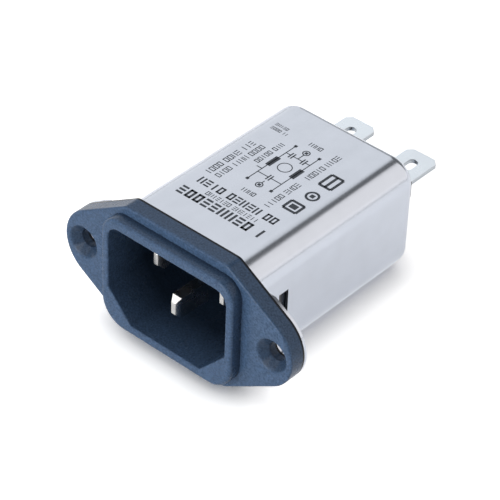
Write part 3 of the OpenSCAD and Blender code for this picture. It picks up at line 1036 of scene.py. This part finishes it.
class INLET_OT_inner(bpy.types.Operator):
    """Gives the parts inside the can, and the solids under the dressed pieces, their finishes"""

    bl_idname = "inlet.inner"
    bl_label = "Finish the inner parts"

    def execute(self, context):
        tones = context.scene.inlet_finishes
        for name, (tone, rough, metallic, nodes) in INNER_FINISHES.items():
            paint_nodes(material(name, getattr(tones, tone), rough, metallic), nodes)
        for name, nodes in OUTER_NODES.items():
            paint_nodes(bpy.data.materials[name], nodes)
        return {"FINISHED"}


# ---- studio ------------------------------------------------------------------------------

SENSOR_WIDTH = 36.0
CLIP_NEAR, CLIP_FAR = 0.01, 20.0
LAMP_AIM = (0, 15 * MM, 0)
WHITE = (1, 1, 1)

# Direction from the part, distance, size, brightness and colour of each lamp, in metres.
LAMPS = {
    "back_left": ((-0.72, 0.38, 0.55), 0.8, (0.95, 0.86), 0.88, WHITE),
    "back_right": ((0.64, 0.61, 0.52), 0.8, (0.9, 0.765), 1.02, (1.0, 0.95, 0.91)),
    "front": ((-0.05, -0.95, 0.22), 0.7, (0.5, 0.4), 5.8, WHITE),
    "key": ((-0.58, -0.58, 0.58), 0.7, (0.4, 0.4), 1.6, WHITE),
}

FLOOR_LOW, FLOOR_HIGH = (0.90, 0.90, 0.91), (0.93, 0.93, 0.93)
FLOOR_ROUGHNESS, FLOOR_CLOUDS, FLOOR_GAP = 0.8, 6.0, 0.02 * MM
ROOM_TINT = (0.98, 0.99, 1.0)

# Spans over which the light changes: how open the floor is, its place along Y, how high it comes.
OPEN_SPAN = (0.25, 0.95)
GLINT_SPAN = (-2 * MM, 4 * MM)
HORIZON_SPAN = (0.02, 0.24)


def camera_axes(settings):
    """The camera's right, up and back directions."""
    a, e, r = (math.radians(v) for v in (settings.azimuth, settings.elevation, settings.roll))
    back = Vector((math.sin(a) * math.cos(e), -math.cos(a) * math.cos(e), math.sin(e)))
    right = Vector((math.cos(a), math.sin(a), 0))
    up = back.cross(right)
    return (
        math.cos(r) * right + math.sin(r) * up,
        -math.sin(r) * right + math.cos(r) * up,
        back,
    )


def place_camera(scene, settings):
    """Camera on the object's front, right and top."""
    right, up, back = camera_axes(settings)
    aim = right * settings.aim_right + up * settings.aim_up + Vector((0, settings.origin_y, 0))
    data = bpy.data.cameras.new("camera")
    data.lens, data.sensor_width = settings.lens, SENSOR_WIDTH
    data.clip_start, data.clip_end = CLIP_NEAR, CLIP_FAR
    eye = bpy.data.objects.new("camera", data)
    scene.collection.objects.link(eye)
    turn = Matrix((right, up, back)).transposed().to_4x4()
    eye.matrix_world = Matrix.Translation(aim + back * settings.distance) @ turn
    scene.camera = eye


def softbox(scene, name, towards, away, size, radiance, tint):
    """Area lamp that faces the part from some way off, as bright as its radiance says."""
    aim = Vector(LAMP_AIM)
    spot = aim + Vector(towards).normalized() * away
    data = bpy.data.lights.new(name, "AREA")
    data.shape, data.size, data.size_y = "RECTANGLE", *size
    data.energy = radiance * math.pi * size[0] * size[1]
    data.color = tint
    lamp = bpy.data.objects.new(name, data)
    scene.collection.objects.link(lamp)
    lamp.location = spot
    lamp.rotation_euler = (aim - spot).to_track_quat("-Z", "Y").to_euler()


def floor_material(settings):
    """White floor that is seen as white, with its shadows and a painted shadow: a darker rim round the
    part where the added brightness fades.
    """
    made = bpy.data.materials.new("floor")
    made.use_nodes = True
    tree = made.node_tree
    surface = tree.nodes["Principled BSDF"]
    surface.inputs["Roughness"].default_value = FLOOR_ROUGHNESS
    where = tree.nodes.new("ShaderNodeTexCoord").outputs["Object"]
    clouds = noise_node(tree, where, FLOOR_CLOUDS, 4.0).outputs["Fac"]
    link(tree, blended(tree, clouds, FLOOR_LOW, FLOOR_HIGH), "Result", surface, "Base Color")
    rays = tree.nodes.new("ShaderNodeLightPath")
    openness = tree.nodes.new("ShaderNodeAmbientOcclusion")
    openness.samples = 8
    openness.inputs["Distance"].default_value = settings.contact
    # Painted shadow: the brightness added for camera rays fades where the floor is shut in near the
    # part.
    lift = ranged(tree, openness.outputs["AO"], 0.0, settings.lift, *OPEN_SPAN)
    glint = ranged(tree, place(tree)["Y"], settings.glint / 2, settings.glint, *GLINT_SPAN)
    seen = maths(tree, "MULTIPLY", rays.outputs["Is Camera Ray"], lift)
    mirrored = maths(tree, "MULTIPLY", rays.outputs["Is Glossy Ray"], glint)
    surface.inputs["Emission Color"].default_value = (1, 1, 1, 1)
    tree.links.new(maths(tree, "ADD", seen, mirrored), surface.inputs["Emission Strength"])
    return made


def add_floor(scene, settings):
    """Floor under the flange's lower edge and the can's lower back edge."""
    can, m = scene.inlet_can, scene.inlet_moulding
    heel = Vector((-can.sheet, -m.height / 2))
    centre = Vector((can.long - can.edge, can.rise - can.height / 2 + can.edge))
    reach = centre - heel
    slope = math.atan2(reach.y, reach.x) - math.asin(can.edge / reach.length)
    mesh = bpy.data.meshes.new("floor")
    half = settings.floor_w / 2
    corners = [(-half, -half, 0), (half, -half, 0), (half, half, 0), (-half, half, 0)]
    mesh.from_pydata(corners, [], [(0, 1, 2, 3)])
    floor = bpy.data.objects.new("floor", mesh)
    scene.collection.objects.link(floor)
    foot = Matrix.Translation((0, heel.x, heel.y - FLOOR_GAP))
    floor.matrix_world = foot @ Matrix.Rotation(slope, 4, "X")
    mesh.materials.append(floor_material(settings))


def light_room(scene, settings):
    """Dim room that is seen as white and glows low down in what is mirrored."""
    world = bpy.data.worlds.new("room")
    world.use_nodes = True
    scene.world = world
    tree = world.node_tree
    background = tree.nodes["Background"]
    rays = tree.nodes.new("ShaderNodeLightPath")
    level = ranged(tree, rays.outputs["Is Camera Ray"], settings.world, 1.0, 0.0, 1.0)
    low = ranged(tree, place(tree, "Generated")["Z"], settings.horizon, 0.0, *HORIZON_SPAN)
    mirrored = maths(tree, "MULTIPLY", rays.outputs["Is Glossy Ray"], low)
    background.inputs["Color"].default_value = (*ROOM_TINT, 1)
    tree.links.new(maths(tree, "ADD", level, mirrored), background.inputs["Strength"])


class INLET_OT_studio(bpy.types.Operator):
    """Sets up the floor, the lamps and the camera"""

    bl_idname = "inlet.studio"
    bl_label = "Set up the studio"

    def execute(self, context):
        scene = context.scene
        settings = scene.inlet_studio
        add_floor(scene, settings)
        light_room(scene, settings)
        for name, lamp in LAMPS.items():
            softbox(scene, name, *lamp)
        place_camera(scene, settings)
        scene.view_settings.view_transform = "Standard"
        return {"FINISHED"}


class INLET_PT_panel(bpy.types.Panel):
    """Panel with the steps in order"""

    bl_label = "Filtered power inlet"
    bl_idname = "INLET_PT_panel"
    bl_space_type = "VIEW_3D"
    bl_region_type = "UI"
    bl_category = "Inlet"

    def draw(self, context):
        for operator in OPERATORS:
            self.layout.operator(operator.bl_idname)
        for name, group in GROUPS.items():
            box = self.layout.box()
            for field in group.__annotations__:
                box.prop(getattr(context.scene, name), field)


OPERATORS = (
    INLET_OT_moulding,
    INLET_OT_can,
    INLET_OT_contacts,
    INLET_OT_print,
    INLET_OT_inner,
    INLET_OT_studio,
)


def register():
    """Registers the groups, operators and panel."""
    for name, group in GROUPS.items():
        bpy.utils.register_class(group)
        setattr(bpy.types.Scene, name, PointerProperty(type=group))
    for item in (*OPERATORS, INLET_PT_panel):
        bpy.utils.register_class(item)


def unregister():
    """Removes what register added."""
    for item in (INLET_PT_panel, *reversed(OPERATORS)):
        bpy.utils.unregister_class(item)
    for name, group in reversed(GROUPS.items()):
        delattr(bpy.types.Scene, name)
        bpy.utils.unregister_class(group)


def main():
    """Builds everything."""
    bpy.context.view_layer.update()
    register()
    bpy.ops.inlet.moulding()
    bpy.ops.inlet.can()
    bpy.ops.inlet.contacts()
    bpy.ops.inlet.print_marks()
    bpy.ops.inlet.inner()
    bpy.ops.inlet.studio()


if __name__ == "__main__":
    main()
